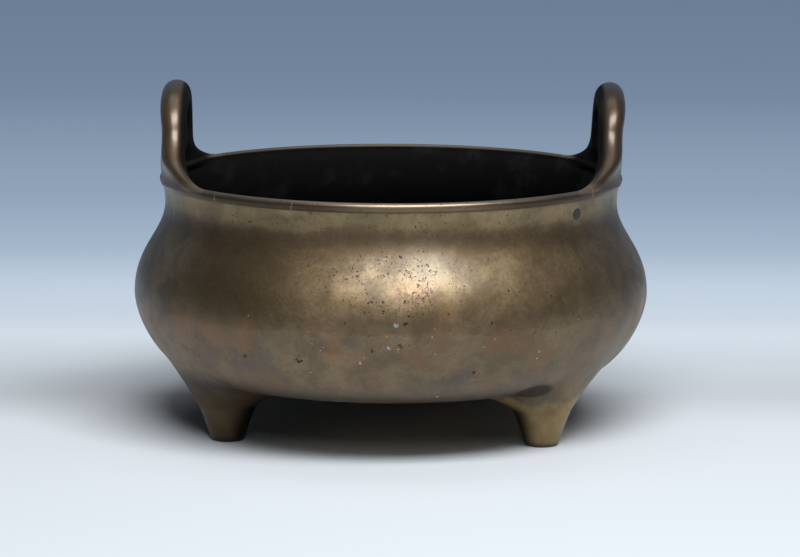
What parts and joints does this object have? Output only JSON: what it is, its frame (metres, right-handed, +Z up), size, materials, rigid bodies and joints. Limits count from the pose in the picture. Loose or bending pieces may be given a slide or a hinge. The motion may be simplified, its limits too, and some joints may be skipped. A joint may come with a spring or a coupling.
{
  "type": "tripod censer",
  "caption": "Squat cast-bronze tripod censer: bulging open bowl on short tapered feet, with upright loop handles that grow out of the rolled lip.",
  "frame": {"origin": "on the floor under the middle of the bowl", "axes": "+Z up along the bowl's axis, -Y the front, +X the right-hand handle as the front is seen"},
  "size_m": [0.24, 0.24, 0.1626],
  "materials": {
    "bowl_bronze": "old cast bronze, satin olive-brown patina with cloudy mottling and small casting pits",
    "handle_bronze": "smooth dark brown patina, rubbed to a soft shine",
    "foot_bronze": "worn golden-brown patina",
    "plug_bronze": "dull dark grey-brown patina"
  },
  "bodies": {
    "root": {"bowl": "bowl_bronze", "handle_right": "handle_bronze", "handle_left": "handle_bronze", "foot_rear": "foot_bronze", "foot_front_left": "foot_bronze", "foot_front_right": "foot_bronze", "neck_plug": "plug_bronze"}
  },
  "joints": []
}
